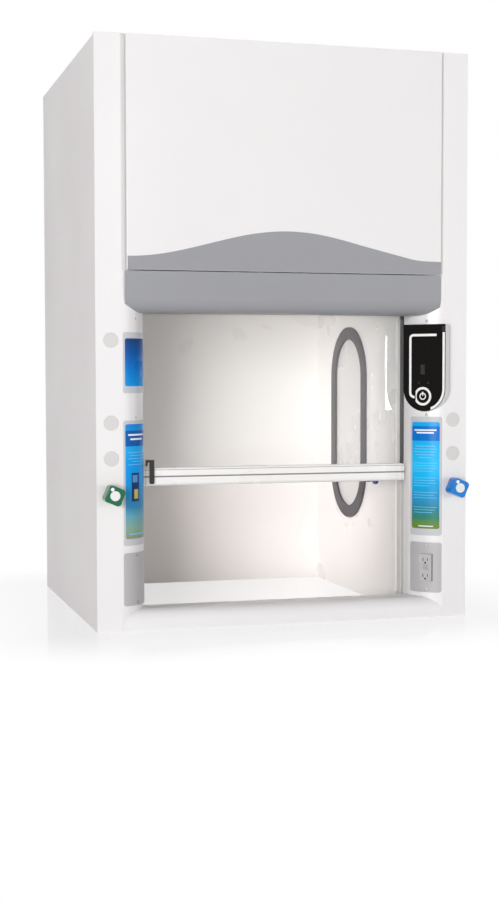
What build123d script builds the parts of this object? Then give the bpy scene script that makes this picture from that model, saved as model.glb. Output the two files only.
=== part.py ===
from build123d import *
from math import cos, degrees, hypot, pi, radians, sin, sqrt
import os

os.makedirs("parts", exist_ok=True)

# Cabinet: X across, Y into the hood, Z up from the bench
hood_width = 914.4
hood_depth = 805.0
hood_height = 1366.0
sheet = 1.5
seat = 0.3
knob_reach = 48.0
side_drop = 5.0
pan_flange = 25.0
side = hood_width / 2
front = (knob_reach - hood_depth) / 2
back = front + hood_depth

# Corner posts: a flat face, then a bowed face that turns into the opening
post_face = 60.2
post_bow = 63.0
post_edge = side - post_face
opening_half = post_edge - post_bow
post_return = 68.0
post_crown = 14.0
post_wrap = 12.0
post_jamb = 32.0
post_lip = 14.0
jamb_slot_length = 8.0
jamb_slot_width = 3.5
jamb_slot_heights = (359.0, 409.0, 510.0)

# Front panel, the wave applied to its foot and the rails behind it
panel_lap = 11.5
panel_half = post_edge - panel_lap
panel_proud = 11.5
panel_sheet = 1.2
panel_foot = 832.5
panel_head_gap = 2.0
panel_head = hood_height - panel_head_gap
film = 0.6
wave_end = 863.0
wave_crest = 927.0
rail_tall = 32.0
rail_reach = 30.0
upper_rail_drop = 56.0
upper_rail_foot = hood_height - upper_rail_drop

# Header moulding
header_end_gap = 9.0
header_half = post_edge - header_end_gap
header_foot = 735.0
header_head = 830.5
header_proud = 2.5
header_wall = 3.0
header_reach = 66.0
header_bull = 38.0
header_lip = 14.0
header_shelf = 40.0

# Sill with its rounded nose
sill_nose = 30.0
sill_height = 48.0
sill_reach = 77.0
sill_sheet = 2.0
sill_foot_flange = 18.0
sill_drop = 12.0
sill_slot_room = 14.0
sill_slot_pitch = 31.0
sill_slot_count = int(2 * (opening_half - sill_slot_room) / sill_slot_pitch)
sill_slot_length = 22.0
sill_slot_width = 3.0
sill_slot_inset = 9.0

# Liner and ceiling
liner_wall = 5.0
liner_front = 158.0
liner_back_gap = 30.0
liner_back = hood_depth - liner_back_gap
liner_head = 790.0
ceiling_edge = 18.0
light_end_gap = 34.0
light_length = 2 * (opening_half - light_end_gap)
light_width = 56.0
light_middle = 200.0
light_drop = 10.0
light_box_height = 38.0

# Oval service covers in the side liners
cover_height = 521.0
cover_front_gap = 78.5
cover_back_gap = 135.5
cover_centre_height = 461.0
gasket_face = 33.0
gasket_proud = 6.0
gasket_back = 3.0
gasket_web = 8.0

# Service fittings
fixture_inset = 34.7
fixture_pitch = 82.0
knob_height = 318.0
plug_diameter = 35.0
plug_head = 1.6
plug_stem_depth = 8.0
plug_stem_wall = 1.5
plug_hole = 30.0
upper_plug_height = 671.5
knob_span = 50.0
knob_stand = 12.0
knob_lobe = 9.0
knob_lobes = 4
knob_turn = 22.0
knob_edge = 2.5
knob_waist = 150.0
knob_cap_diameter = 23.0
knob_cap_depth = 3.0
knob_cap_proud = 1.2
spindle_diameter = 9.5
spindle_room = 1.0
running = 0.05
barb_depth = 288.0
barb_length = 34.0
barb_diameter = 9.0
barb_rise = 1.5
barb_count = 3
barb_collar = 24.0
barb_collar_depth = 9.0
barb_shank = 14.0
valve_flange = 32.0
valve_flange_depth = 4.0
valve_body = 18.0
valve_depth = 52.0
valve_port = 12.0
valve_port_reach = 20.0
stem_depth = 24.0

# Plates on the bowed faces, given as heights above the bench
plate_wall = 1.5
plate_start = 2.0
plate_end = 9.0
plate_corner = 6.0
blank_plate_low = 58.0
blank_plate_high = 181.0
decal_plate_low = 198.0
left_decal_plate_high = 487.0
right_decal_plate_high = 489.0
upper_plate_low = 550.0
upper_plate_high = 690.0
screw_inset = 7.5
screw_head = 7.0
screw_proud = 1.6
screw_shank = 4.0
screw_depth = 6.0
screw_room = 0.4
fitting_shift = 8.0

# Receptacle
socket_width = 33.3
socket_height = 66.8
socket_proud = 2.0
socket_wall = 9.0
socket_body_depth = 30.0
socket_body_width = 42.0
socket_body_height = 80.0
socket_cut_width = 46.0
socket_cut_height = 92.0
socket_pitch = 39.0
socket_edge = 0.8
blade_depth = 7.0
blade_shift = 6.0
neutral_slot = 8.0
live_slot = 6.4
slot_gap = 1.8
earth_drop = 8.0
earth_hole = 4.8
test_key_width = 12.0
test_key_height = 4.6
test_key_gap = 0.3
test_key_pitch = 6.4
test_key_proud = 1.2
test_key_depth = 5.0
test_key_travel = 1.0
box_width = 56.0
box_height = 100.0
box_depth = 50.0
box_wall = 1.5

# Control panel
control_width = 111.0
control_low = 502.0
control_high = 714.0
control_shift = 6.5
control_wall = 2.0
control_glass = 2.5
control_stand = 8.0
control_corner = 3.0
control_skirt = 12.0
control_screw_gap = 8.0
power_key_diameter = 36.0
power_key_rise = 37.0
power_key_shift = 3.0
power_key_travel = 0.8
power_key_gap = 0.3
power_key_disc = 1.4
power_key_stem = 12.0
power_key_length = 7.0

# Sash: a framed pane with a full-width handle
glass_wall = 5.0
glass_lap = 11.0
glass_half = opening_half + glass_lap
glass_head = 1025.0
glass_bite = 12.0
sash_foot = 329.0
handle_height = 42.0
handle_end_gap = 3.5
handle_half = opening_half - handle_end_gap
handle_front = 86.0
handle_back = 119.0
handle_wall = 2.5
handle_round = 9.0
handle_ledge = 4.0
handle_groove = 22.0
groove_depth = 2.0
channel_wall = 2.5
glide_lap = 3.0
glide_width = 21.0
glide_inner = opening_half - glide_lap
glide_outer = glide_inner + glide_width
glide_gap = 0.5
lug_foot = 880.0
lug_length = 40.0
lug_half_wall = 6.0
lug_width = 13.0
lug_reach = glide_outer + lug_width
latch_inset = 23.5
latch_middle = latch_inset - opening_half
latch_foot = 334.0
latch_height = 57.0
latch_width = 11.0
latch_wall = 6.0
latch_hook = 9.0
latch_hook_height = 6.0
latch_tip = 4.0
latch_tip_drop = 14.0
latch_pin_height = 343.0
latch_pin = 5.0
latch_pin_reach = 12.0

# Sash tracks
track_groove = 18.7
track_wall = 2.0
track_width = 36.0
track_web = opening_half + track_width
track_head_gap = 14.0
track_box = 12.0
track_wing = 36.0

# Counterbalance
pulley_diameter = 52.0
pulley_width = 9.0
pulley_groove_depth = 3.0
pulley_groove_width = 3.5
pulley_bore = 8.0
pulley_drop = 48.0
pulley_height = hood_height - pulley_drop
cable_diameter = 2.4
cable_reach = 26.0
cable_line = opening_half + cable_reach
cable_room = 0.3
beam_reach = 35.0
beam_web = opening_half + beam_reach
beam_wall = 2.0
beam_drop = 28.0
beam_foot = pulley_height - beam_drop
beam_height = 56.0
axle_head = 13.0
axle_head_wall = 2.0
weight_reach = 32.0
weight_half = opening_half + weight_reach
weight_height = 100.0
weight_wall = 14.0
weight_foot = 640.0
weight_back_gap = 15.0
weight_line = hood_depth - weight_back_gap

# Filters and fan above the ceiling
filter_end_gap = 29.0
filter_front_gap = 24.5
filter_back_gap = 56.5
filter_edge = 22.0
prefilter_wall = 24.0
pleat_count = 16
pleat_paper = 1.2
carbon_wall = 100.0
carbon_cell = 52.0
carbon_rib = 12.0
deck_height = 960.0
inlet_throat = 103.0
inlet_curve = 22.0
inlet_wall = 1.5
eye_radius = 107.0
impeller_radius = 150.0
impeller_height = 90.0
impeller_disc = 2.5
impeller_overlap = 5.0
blade_count = 7
blade_wall = 2.5
blade_inner = 78.0
blade_lean = 38.0
hub_radius = 52.0
hub_height = 40.0
hub_bore = 14.0
motor_radius = 56.0
motor_height = 34.0
bridge_half = 190.0
bridge_width = 60.0
bridge_wall = 3.0
bridge_foot = 30.0

# Exhaust grille
slot_end_gap = 84.0
slot_length = opening_half - slot_end_gap
slot_width = 8.0
slot_pitch = 24.0
slot_rows = 9
slot_bridge = 30.0

# Plan geometry of the bowed post face
crease = Vector(post_edge, front)
jamb = Vector(opening_half, front + post_return)
bow_chord = hypot(post_edge - opening_half, post_return)
bow_radius = bow_chord**2 / (8 * post_crown) + post_crown / 2
bow_out = Vector(-post_return / bow_chord, (opening_half - post_edge) / bow_chord)
bow_along = Vector(-bow_out.Y, bow_out.X)
bow_middle = (crease + jamb) * 0.5 + bow_out * post_crown
bow_plane = Plane(
    origin=(bow_middle.X, bow_middle.Y, 0),
    x_dir=(bow_along.X, bow_along.Y, 0),
    z_dir=(bow_out.X, bow_out.Y, 0),
)

# Covers, filters and cells that fill the room left for them
cover_front = barb_depth + cover_front_gap
cover_back = liner_back - cover_back_gap
cover_width = cover_back - cover_front
cover_centre_depth = (cover_front + cover_back) / 2
filter_front = light_middle + (light_width + ceiling_edge) / 2 + filter_front_gap
filter_back = liner_back - filter_back_gap
filter_width = 2 * (opening_half - filter_end_gap)
filter_depth = filter_back - filter_front
filter_middle = (filter_front + filter_back) / 2
carbon_pitch = carbon_cell + carbon_rib
carbon_columns = int((filter_width - filter_edge) / carbon_pitch)
carbon_rows = int((filter_depth - filter_edge) / carbon_pitch)

# Planes and lines that several pieces share
front_plane = Plane.XZ.offset(-front)
wall_plane = Plane.YZ.offset(opening_half)
fixture_line = side - fixture_inset
fixture_heights = [knob_height + step * fixture_pitch for step in range(3)]
jamb_back = post_return + post_jamb
track_head = beam_foot - track_head_gap
track_front = jamb_back + seat
sash_plane = track_front + track_wall + track_groove / 2
pitch_radius = pulley_diameter / 2 - pulley_groove_depth + cable_room + cable_diameter / 2
front_pulley_depth = sash_plane + pitch_radius
rear_pulley_depth = weight_line - pitch_radius
plate_middle = (plate_end - plate_start) / 2
plate_width = bow_chord - plate_start - plate_end
socket_middle = (blank_plate_low + blank_plate_high) / 2
bow_centre = bow_middle - bow_out * bow_radius
bow_axis = Axis(origin=(0, 0, 0), direction=(bow_out.X, bow_out.Y, 0))
screw_heights = (blank_plate_low + screw_inset, blank_plate_high - screw_inset)
control_screw_heights = (control_low - control_screw_gap, control_high + control_screw_gap)


def bow_point(along, out=0.0):
    # Plan point near the bowed face, along being measured on its chord
    rise = sqrt((bow_radius + out) ** 2 - along**2) - bow_radius
    return bow_middle + bow_along * along + bow_out * rise


def bow_seat(along, height, out=0.0):
    # Plane standing on the bowed face, its normal pointing away from the post
    place = bow_point(along, out)
    normal = (place - bow_centre) / (bow_radius + out)
    return Plane(
        origin=(place.X, place.Y, height),
        x_dir=(-normal.Y, normal.X, 0),
        z_dir=(normal.X, normal.Y, 0),
    )


def across(right_plane):
    # The same plane on the left post
    origin = right_plane.origin
    along = right_plane.x_dir
    normal = right_plane.z_dir
    return Plane(
        origin=(-origin.X, origin.Y, origin.Z),
        x_dir=(along.X, -along.Y, 0),
        z_dir=(-normal.X, normal.Y, 0),
    )


def finish(piece, label):
    piece.part.label = label
    export_step(piece.part, f"parts/{label}.step")


def mirrored(right_piece):
    with BuildPart() as left_piece:
        mirror(right_piece.part, about=Plane.YZ)
    return left_piece


def finish_pair(right_piece, name):
    finish(right_piece, f"right_{name}")
    finish(mirrored(right_piece), f"left_{name}")


def both_sides(right_piece):
    # One node that holds the right-hand piece and its mirror image
    with BuildPart() as pair:
        add(right_piece.part)
        mirror(right_piece.part, about=Plane.YZ)
    return pair


def filled_posts(clearance):
    # Plan outline of both corner posts, filled, for trimming what meets them
    with BuildSketch(Plane.XY) as outline:
        with BuildLine():
            ThreePointArc(crease, bow_middle, jamb)
            Polyline(
                jamb,
                (opening_half, front + jamb_back),
                (side, front + jamb_back),
                (side, front),
                crease,
            )
        make_face()
        offset(amount=clearance)
        mirror(about=Plane.YZ)
    return outline.sketch


post_room = filled_posts(seat)


# Corner posts, each folded from one sheet
with BuildPart() as post:
    with BuildSketch(Plane.XY):
        with BuildLine():
            Polyline((side, front + post_wrap), (side, front), crease)
            ThreePointArc(crease, bow_middle, jamb)
            Polyline(
                jamb,
                (opening_half, front + jamb_back),
                (opening_half + post_lip, front + jamb_back),
            )
            offset(amount=sheet, side=Side.RIGHT)
        make_face()
    extrude(amount=hood_height)
    with BuildSketch(front_plane):
        with Locations((fixture_line, knob_height)):
            Circle(spindle_diameter / 2 + spindle_room)
        with Locations([(fixture_line, height) for height in fixture_heights[1:]]):
            Circle(plug_hole / 2)
    extrude(amount=-2 * sheet, mode=Mode.SUBTRACT)
    with BuildSketch(bow_plane):
        with Locations((fitting_shift, socket_middle)):
            Rectangle(socket_cut_width, socket_cut_height)
    extrude(amount=post_crown, both=True, mode=Mode.SUBTRACT)
    with BuildSketch(wall_plane):
        with Locations([(front + post_return + post_jamb / 2, height) for height in jamb_slot_heights]):
            SlotOverall(jamb_slot_length, jamb_slot_width, rotation=90)
    extrude(amount=2 * sheet, mode=Mode.SUBTRACT)
    for height in screw_heights + control_screw_heights:
        with BuildSketch(bow_seat(fitting_shift, height)):
            Circle(screw_shank / 2 + screw_room)
        extrude(amount=2 * sheet, both=True, mode=Mode.SUBTRACT)
finish(post, "right_corner_post")

with BuildPart() as left_post:
    mirror(post.part, about=Plane.YZ)
    with BuildSketch(front_plane):
        with Locations((-fixture_line, upper_plug_height)):
            Circle(plug_hole / 2)
    extrude(amount=-2 * sheet, mode=Mode.SUBTRACT)
finish(left_post, "left_corner_post")


# Side panels, folded as shallow pans
side_front = front + post_wrap + seat
side_back = back - sheet - seat
with BuildPart() as side_panel:
    with BuildSketch(Plane.YZ.offset(side)):
        with Locations(((side_front + side_back) / 2, (hood_height - side_drop) / 2)):
            Rectangle(side_back - side_front, hood_height - side_drop)
    extrude(amount=-pan_flange)
    offset(amount=-sheet, openings=side_panel.faces().sort_by(Axis.X)[0])
finish_pair(side_panel, "side_panel")


# Back panel with a foot and a head flange between the side pans
back_height = hood_height - side_drop
flange_half = side - pan_flange - seat
with BuildPart() as back_panel:
    with BuildSketch(Plane.XZ.offset(-back)):
        with Locations((0, back_height / 2)):
            Rectangle(hood_width, back_height)
    extrude(amount=sheet)
    with BuildSketch(Plane.YZ):
        for level in (sheet / 2, back_height - sheet / 2):
            with Locations((back - pan_flange / 2, level)):
                Rectangle(pan_flange, sheet)
    extrude(amount=flange_half, both=True)
finish(back_panel, "back_panel")


# Top panel with the exhaust grille, resting on the side pans
with BuildPart() as top_panel:
    with BuildSketch(Plane.XY.offset(back_height)):
        with Locations((0, (front + back) / 2 + sheet)):
            Rectangle(hood_width - 2 * sheet, hood_depth - 4 * sheet)
        add(post_room, mode=Mode.SUBTRACT)
        with Locations((0, front + filter_middle)):
            with GridLocations(slot_length + slot_bridge, slot_pitch, 2, slot_rows):
                SlotOverall(slot_length, slot_width, mode=Mode.SUBTRACT)
    extrude(amount=sheet)
finish(top_panel, "top_panel")


# Lift-off front panel, a shallow pan with softened upright edges
with BuildPart() as front_panel:
    with BuildSketch(front_plane.offset(panel_proud)):
        with Locations((0, (panel_foot + panel_head) / 2)):
            Rectangle(2 * panel_half, panel_head - panel_foot)
    extrude(amount=seat - panel_proud)
    offset(amount=-panel_sheet, openings=front_panel.faces().sort_by(Axis.Y)[-1])
    outer_edges = front_panel.edges().filter_by(Axis.Z).group_by(Axis.Y)[0]
    fillet(outer_edges, radius=panel_sheet)
finish(front_panel, "front_panel")


# Wave film on the foot of the front panel
def wave_height(across):
    return wave_end + (wave_crest - wave_end) * (1 + cos(pi * across / panel_half)) / 2


film_half = panel_half - panel_sheet
with BuildPart() as wave_film:
    with BuildSketch(front_plane.offset(panel_proud)):
        with BuildLine():
            points = [(film_half * step / 4, wave_height(film_half * step / 4)) for step in range(-4, 5)]
            top_line = Spline(*points, tangents=((1, 0), (1, 0)))
            Polyline(
                top_line @ 1,
                (film_half, panel_foot + seat),
                (-film_half, panel_foot + seat),
                top_line @ 0,
            )
        make_face()
    extrude(amount=film)
finish(wave_film, "wave_film")


# Cross rails between the posts, behind the front panel
rail_front = front - panel_proud + panel_sheet + seat
rail_back = front + jamb_back - seat
lower_rail_foot = panel_foot + panel_sheet + seat
with BuildPart() as cross_rails:
    for foot in (lower_rail_foot, upper_rail_foot):
        with BuildSketch(Plane.YZ):
            with BuildLine():
                Polyline(
                    (rail_back, foot),
                    (rail_front, foot),
                    (rail_front, foot + rail_tall),
                    (rail_front + rail_reach, foot + rail_tall),
                )
                offset(amount=sheet, side=Side.RIGHT)
            make_face()
        extrude(amount=opening_half - seat, both=True)
finish(cross_rails, "cross_rails")


# Header moulding with its rounded underside, trimmed to the bowed posts
with BuildPart() as header:
    with BuildSketch(Plane.YZ):
        with BuildLine():
            face = front - header_proud
            Polyline(
                (front + header_shelf, header_head),
                (face, header_head),
                (face, header_foot + header_bull),
            )
            CenterArc((face + header_bull, header_foot + header_bull), header_bull, 180, 90)
            Polyline(
                (face + header_bull, header_foot),
                (front + header_reach, header_foot),
                (front + header_reach, header_foot + header_lip),
            )
            offset(amount=header_wall, side=Side.LEFT)
        make_face()
    extrude(amount=header_half, both=True)
    extrude(post_room, amount=hood_height, mode=Mode.SUBTRACT)
finish(header, "header")


# Sill between the posts, with air slots along its rear edge
with BuildPart() as sill:
    with BuildSketch(Plane.YZ):
        with BuildLine():
            Polyline(
                (front + sill_foot_flange, 0),
                (front, 0),
                (front, sill_height - sill_nose),
            )
            CenterArc((front + sill_nose, sill_height - sill_nose), sill_nose, 180, -90)
            Polyline(
                (front + sill_nose, sill_height),
                (front + sill_reach, sill_height),
                (front + sill_reach, sill_height - sill_drop),
            )
            offset(amount=sill_sheet, side=Side.RIGHT)
        make_face()
    extrude(amount=post_edge - seat, both=True)
    extrude(post_room, amount=hood_height, mode=Mode.SUBTRACT)
    with BuildSketch(Plane.XY.offset(sill_height)):
        with Locations((0, front + sill_reach - sill_slot_inset)):
            with GridLocations(sill_slot_pitch, 1, sill_slot_count, 1):
                SlotOverall(sill_slot_length, sill_slot_width)
    extrude(amount=-2 * sill_sheet, mode=Mode.SUBTRACT)
finish(sill, "sill")


# Side liners with an oval service opening
opening_height = cover_height - gasket_face
opening_width = cover_width - gasket_face
cover_place = (front + cover_centre_depth, cover_centre_height)
with BuildPart() as liner:
    with BuildSketch(wall_plane):
        with Locations((front + (liner_front + liner_back) / 2, liner_head / 2)):
            Rectangle(liner_back - liner_front, liner_head)
        with Locations(cover_place):
            SlotOverall(opening_height, opening_width, rotation=90, mode=Mode.SUBTRACT)
        with Locations([(front + barb_depth, height) for height in fixture_heights[1:]]):
            Circle(plug_hole / 2, mode=Mode.SUBTRACT)
        with Locations((front + barb_depth, knob_height)):
            Circle(barb_shank / 2 + seat, mode=Mode.SUBTRACT)
    extrude(amount=liner_wall)
finish_pair(liner, "liner")

with BuildPart() as rear_liner:
    with BuildSketch(Plane.XZ.offset(-front - liner_back)):
        with Locations((0, liner_head / 2)):
            Rectangle(2 * (opening_half + liner_wall), liner_head)
    extrude(amount=-liner_wall)
finish(rear_liner, "rear_liner")


# Service covers and the H-section gaskets that hold them in the liners
slip = 2 * (gasket_web + seat)
with BuildPart() as cover:
    with BuildSketch(wall_plane):
        with Locations(cover_place):
            SlotOverall(opening_height - slip, opening_width - slip, rotation=90)
    extrude(amount=liner_wall)
finish(both_sides(cover), "service_covers")

with BuildPart() as gasket:
    with BuildSketch(wall_plane):
        with Locations(cover_place):
            SlotOverall(cover_height, cover_width, rotation=90)
    extrude(amount=-gasket_proud)
    with BuildSketch(wall_plane.offset(liner_wall)):
        with Locations(cover_place):
            SlotOverall(cover_height, cover_width, rotation=90)
    extrude(amount=gasket_back)
    with BuildSketch(wall_plane):
        with Locations(cover_place):
            SlotOverall(opening_height - 2 * seat, opening_width - 2 * seat, rotation=90)
    extrude(amount=liner_wall)
    with BuildSketch(wall_plane):
        with Locations(cover_place):
            SlotOverall(opening_height - 2 * gasket_web, opening_width - 2 * gasket_web, rotation=90)
    extrude(amount=liner_wall, mode=Mode.SUBTRACT)
    with BuildSketch(wall_plane.offset(-gasket_proud)):
        with Locations(cover_place):
            SlotOverall(cover_height - 2 * gasket_face, cover_width - 2 * gasket_face, rotation=90)
    extrude(amount=gasket_proud + liner_wall + gasket_back, mode=Mode.SUBTRACT)
finish(both_sides(gasket), "cover_gaskets")


# Ceiling pan with the filter and lamp openings
plate_half = side - sheet - seat
ceiling_front = front + liner_front
ceiling_back = front + liner_back + liner_wall
with BuildPart() as ceiling:
    with BuildSketch(Plane.XY.offset(liner_head)):
        with Locations((0, (ceiling_front + ceiling_back) / 2)):
            Rectangle(2 * plate_half, ceiling_back - ceiling_front)
    extrude(amount=ceiling_edge)
    offset(amount=-sheet, openings=ceiling.faces().sort_by(Axis.Z)[-1])
    with BuildSketch(Plane.XY.offset(liner_head)):
        with Locations((0, front + filter_middle)):
            Rectangle(filter_width - 2 * filter_edge, filter_depth - 2 * filter_edge)
        with Locations((0, front + light_middle)):
            Rectangle(light_length, light_width)
    extrude(amount=sheet, mode=Mode.SUBTRACT)
finish(ceiling, "ceiling")


# Lamp: bowed lens in the ceiling and its housing above
with BuildPart() as lens:
    with BuildSketch(Plane.YZ):
        with BuildLine():
            lens_half = light_width / 2 - seat
            middle = front + light_middle
            arc = ThreePointArc(
                (middle - lens_half, liner_head),
                (middle, liner_head - light_drop),
                (middle + lens_half, liner_head),
            )
            Polyline(
                arc @ 1,
                (middle + lens_half, liner_head + sheet + seat),
                (middle - lens_half, liner_head + sheet + seat),
                arc @ 0,
            )
        make_face()
    extrude(amount=light_length / 2 - seat, both=True)
    offset(amount=-sheet, openings=lens.faces().sort_by(Axis.Z)[-1])
finish(lens, "light_lens")

with BuildPart() as light_box:
    with BuildSketch(Plane.XY.offset(liner_head + sheet + seat)):
        with Locations((0, front + light_middle)):
            Rectangle(light_length + ceiling_edge, light_width + ceiling_edge)
    extrude(amount=light_box_height)
    offset(amount=-sheet, openings=light_box.faces().sort_by(Axis.Z)[0])
finish(light_box, "light_housing")


# Prefilter: a frame round one pleated sheet
filter_place = (0, front + filter_middle)
prefilter_foot = liner_head + sheet + seat
with BuildPart() as prefilter:
    with BuildSketch(Plane.XY.offset(prefilter_foot)):
        with Locations(filter_place):
            Rectangle(filter_width, filter_depth)
            Rectangle(filter_width - 2 * filter_edge, filter_depth - 2 * filter_edge, mode=Mode.SUBTRACT)
    extrude(amount=prefilter_wall)
    with BuildSketch(Plane.XZ.offset(-front - filter_middle)):
        with BuildLine():
            pleat_half = (filter_width - filter_edge) / 2
            pleat_run = 2 * pleat_half / pleat_count
            low = prefilter_foot + 2 * pleat_paper
            high = prefilter_foot + prefilter_wall - 2 * pleat_paper
            folds = range(pleat_count + 1)
            Polyline(*[(-pleat_half + step * pleat_run, (low, high)[step % 2]) for step in folds])
            offset(amount=pleat_paper, side=Side.RIGHT)
        make_face()
    extrude(amount=(filter_depth - filter_edge) / 2, both=True)
finish(prefilter, "prefilter")


# Carbon filter: a deep cassette with a cell grid
carbon_foot = prefilter_foot + prefilter_wall + seat
with BuildPart() as carbon:
    with BuildSketch(Plane.XY.offset(carbon_foot)):
        with Locations(filter_place):
            Rectangle(filter_width, filter_depth)
            with GridLocations(
                (filter_width - filter_edge) / carbon_columns,
                (filter_depth - filter_edge) / carbon_rows,
                carbon_columns,
                carbon_rows,
            ):
                Rectangle(carbon_cell, carbon_cell, mode=Mode.SUBTRACT)
    extrude(amount=carbon_wall)
finish(carbon, "carbon_filter")


# Fan deck: an upturned pan with a spun inlet
with BuildPart() as deck:
    with BuildSketch(Plane.XY.offset(deck_height)):
        with Locations((0, (ceiling_front + ceiling_back) / 2)):
            Rectangle(2 * plate_half, ceiling_back - ceiling_front)
    extrude(amount=ceiling_edge)
    offset(amount=-sheet, openings=deck.faces().sort_by(Axis.Z)[-1])
    with BuildSketch(Plane.XY.offset(deck_height)):
        with Locations(filter_place):
            Circle(inlet_throat + inlet_curve)
    extrude(amount=ceiling_edge, mode=Mode.SUBTRACT)
    with BuildSketch(Plane.XZ.offset(-front - filter_middle)):
        with BuildLine():
            inlet_rim = inlet_throat + inlet_curve
            Line((inlet_rim + inlet_wall, deck_height), (inlet_rim, deck_height))
            CenterArc((inlet_rim, deck_height + inlet_curve), inlet_curve, -90, -90)
            offset(amount=inlet_wall, side=Side.RIGHT)
        make_face()
    revolve(axis=Axis((0, front + filter_middle, 0), (0, 0, 1)))
finish(deck, "fan_deck")


# Backward-curved impeller on the rotor of its motor
impeller_foot = deck_height + inlet_curve - impeller_overlap
impeller_head = impeller_foot + impeller_height
fan_axis = Axis((0, front + filter_middle, 0), (0, 0, 1))
fan_place = Plane.XY.offset(impeller_foot)
with BuildPart() as impeller:
    with BuildSketch(fan_place):
        with Locations(filter_place):
            Circle(impeller_radius)
            Circle(eye_radius, mode=Mode.SUBTRACT)
    extrude(amount=impeller_disc)
    with BuildSketch(Plane.XY.offset(impeller_head - impeller_disc)):
        with Locations(filter_place):
            Circle(impeller_radius)
            Circle(hub_bore / 2, mode=Mode.SUBTRACT)
    extrude(amount=impeller_disc)
    with BuildSketch(fan_place):
        with Locations(filter_place):
            with PolarLocations(0, blade_count):
                with BuildLine():
                    lean = radians(blade_lean)
                    tip_radius = impeller_radius - impeller_disc
                    tip = tip_radius * cos(lean), tip_radius * sin(lean)
                    blade = RadiusArc((blade_inner, 0), tip, impeller_radius)
                    offset(amount=blade_wall, side=Side.LEFT)
                make_face()
    extrude(amount=impeller_height)
    with BuildSketch(Plane.XY.offset(impeller_head - hub_height)):
        with Locations(filter_place):
            Circle(hub_radius)
            Circle(hub_bore / 2, mode=Mode.SUBTRACT)
    extrude(amount=hub_height)
finish(impeller, "impeller")


# Motor above the impeller, its shaft reaching down through the hub
motor_foot = impeller_head + seat
motor_head = motor_foot + motor_height
with BuildPart() as motor:
    with BuildSketch(Plane.XY.offset(motor_foot)):
        with Locations(filter_place):
            Circle(motor_radius)
    extrude(amount=motor_height)
    fillet(motor.edges().group_by(Axis.Z)[-1], radius=bridge_wall)
    with BuildSketch(Plane.XY.offset(impeller_head - hub_height)):
        with Locations(filter_place):
            Circle(hub_bore / 2 - running)
    extrude(amount=hub_height + 2 * seat)
finish(motor, "fan_motor")

with BuildPart() as bridge:
    with BuildSketch(Plane.XZ.offset(-front - filter_middle)):
        with BuildLine():
            Polyline(
                (-bridge_half - bridge_foot, deck_height + sheet),
                (-bridge_half, deck_height + sheet),
                (-bridge_half, motor_head + bridge_wall),
                (bridge_half, motor_head + bridge_wall),
                (bridge_half, deck_height + sheet),
                (bridge_half + bridge_foot, deck_height + sheet),
            )
            offset(amount=bridge_wall, side=Side.LEFT)
        make_face()
    extrude(amount=bridge_width / 2, both=True)
finish(bridge, "motor_bridge")


# Hole plugs, all alike, in the posts and in the liners
with BuildPart() as plug:
    with BuildSketch(Plane.XY):
        Circle(plug_diameter / 2)
    extrude(amount=plug_head)
    fillet(plug.edges().group_by(Axis.Z)[-1], radius=plug_head / 2)
    with BuildSketch(Plane.XY):
        Circle(plug_hole / 2 - seat)
        Circle(plug_hole / 2 - seat - plug_stem_wall, mode=Mode.SUBTRACT)
    extrude(amount=-plug_stem_depth)



def face_seat(across, height):
    # Plane standing on the flat front face of a post
    return Plane(origin=(across, front, height), x_dir=(1, 0, 0), z_dir=(0, -1, 0))


def liner_seat(hand, height):
    # Plane standing on the inner face of a side liner, over its service line
    origin = (hand * opening_half, front + barb_depth, height)
    return Plane(origin=origin, x_dir=(0, 1, 0), z_dir=(-hand, 0, 0))


plug_places = [face_seat(-fixture_line, upper_plug_height)]
for hand in (-1, 1):
    for height in fixture_heights[1:]:
        plug_places.append(face_seat(hand * fixture_line, height))
        plug_places.append(liner_seat(hand, height))
with BuildPart() as hole_plugs:
    with Locations(*plug_places):
        add(plug.part)
finish(hole_plugs, "hole_plugs")


# Four-lobed knobs with moulded stems
lobe_reach = knob_span / 2 - knob_lobe
half_turn = pi / knob_lobes
waist_rise = sqrt((knob_waist + knob_lobe) ** 2 - (lobe_reach * sin(half_turn)) ** 2)
waist_reach = lobe_reach * cos(half_turn) + waist_rise
knob_head = knob_reach - knob_cap_proud
with BuildPart() as knob:
    with BuildSketch(Plane.XY.offset(knob_stand)):
        with BuildSketch(mode=Mode.PRIVATE) as lobes:
            with PolarLocations(lobe_reach, knob_lobes, start_angle=knob_turn):
                Circle(knob_lobe)
            make_hull()
        add(lobes.sketch)
        with PolarLocations(waist_reach, knob_lobes, start_angle=knob_turn + degrees(half_turn)):
            Circle(knob_waist, mode=Mode.SUBTRACT)
    extrude(amount=knob_head - knob_stand)
    fillet(knob.edges().group_by(Axis.Z)[-1], radius=knob_edge)
    with BuildSketch(Plane.XY.offset(knob_head)):
        Circle(knob_cap_diameter / 2 + seat)
    extrude(amount=knob_cap_proud - knob_cap_depth, mode=Mode.SUBTRACT)
    with BuildSketch(Plane.XY.offset(knob_stand)):
        Circle(spindle_diameter / 2)
    extrude(amount=-knob_stand - stem_depth)

with BuildPart() as cap:
    with BuildSketch(Plane.XY.offset(knob_reach)):
        Circle(knob_cap_diameter / 2)
    extrude(amount=-knob_cap_depth)
    fillet(cap.edges().group_by(Axis.Z)[-1], radius=knob_cap_proud / 2)

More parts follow.
